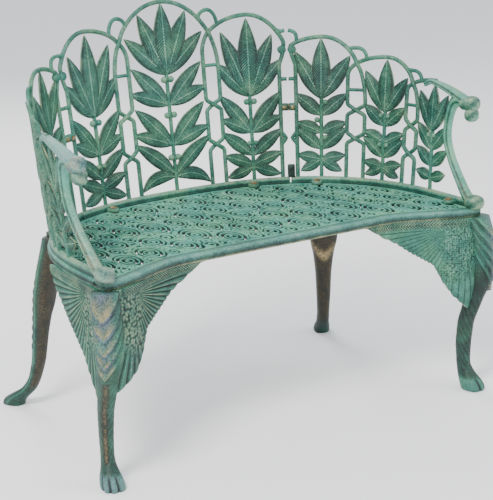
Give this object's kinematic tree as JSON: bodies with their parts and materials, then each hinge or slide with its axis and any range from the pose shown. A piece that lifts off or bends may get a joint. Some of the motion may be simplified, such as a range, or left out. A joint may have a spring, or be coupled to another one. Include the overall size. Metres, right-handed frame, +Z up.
{
  "type": "garden bench",
  "caption": "Curved cast garden bench for two: pierced scroll seat, hooped leaf back sweeping round into the arms, winged cabriole legs.",
  "frame": {"origin": "on the floor, under the middle of the bench's bounding box", "axes": "+X along the seat, +Y towards the back, +Z up"},
  "size_m": [1.0122, 0.6334, 0.8818],
  "materials": {
    "seat_casting": "weathered green patina over cast iron, rubbed to dull gold on the front edge",
    "back_casting": "weathered green patina over cast iron, pale on the arms",
    "leg_casting": "weathered green and brown patina, rubbed to dull gold on the high relief",
    "fasteners": "tarnished, brownish yellow zinc"
  },
  "bodies": {
    "root": {"seat_plate": "seat_casting", "back_centre": "back_casting", "back_left": "back_casting", "back_right": "back_casting", "front_leg_left": "leg_casting", "front_leg_right": "leg_casting", "rear_leg_left": "leg_casting", "rear_leg_right": "leg_casting", "rail_bolts": "fasteners", "rail_washers": "fasteners", "rail_nuts": "fasteners", "rear_leg_bolts": "fasteners", "rear_leg_washers": "fasteners", "rear_leg_nuts": "fasteners", "corner_studs": "fasteners", "leg_screws": "fasteners", "joint_straps": "fasteners", "joint_bolts": "fasteners", "joint_washers": "fasteners", "joint_nuts": "fasteners"}
  },
  "joints": []
}
